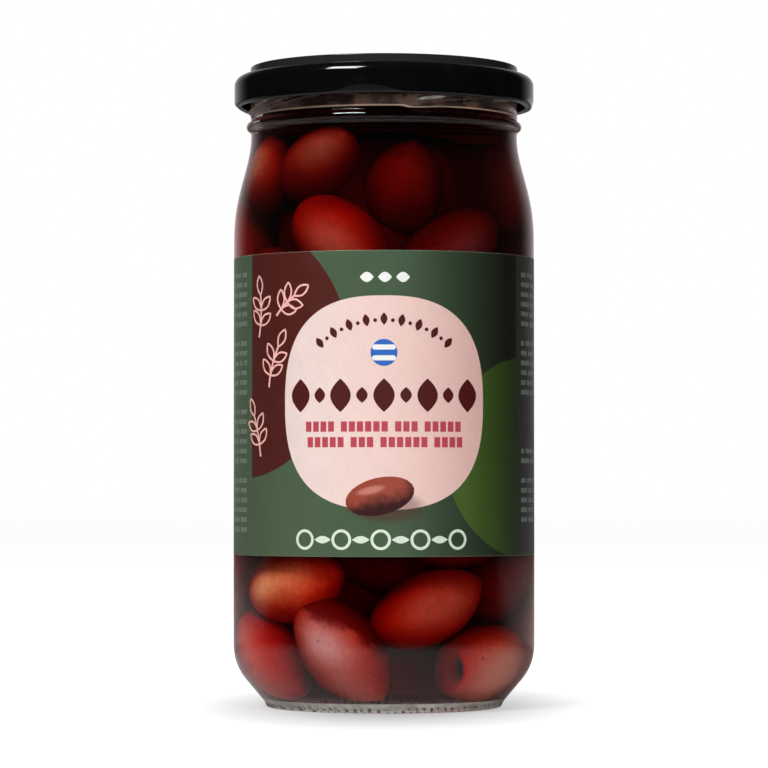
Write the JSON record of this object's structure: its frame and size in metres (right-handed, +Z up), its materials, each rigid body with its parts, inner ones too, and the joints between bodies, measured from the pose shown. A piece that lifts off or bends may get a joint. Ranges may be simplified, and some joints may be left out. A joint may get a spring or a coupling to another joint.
{
  "type": "jar of olives",
  "caption": "Shut glass jar of dark brine-cured olives with a black twist-off lid and a wrap-round paper label.",
  "frame": {"origin": "middle of the ring that the jar stands on", "axes": "+Z up along the jar's axis, the label's front faces -Y"},
  "size_m": [0.0672, 0.0672, 0.1425],
  "materials": {
    "glass": "clear, glossy",
    "lid": "gloss black lacquer on tinplate",
    "label": "satin printed paper",
    "olives": "smooth, wet, semi-gloss skin"
  },
  "bodies": {
    "root": {"jar": "glass", "lid": "lid", "label": "label", "olives": "olives"}
  },
  "joints": []
}
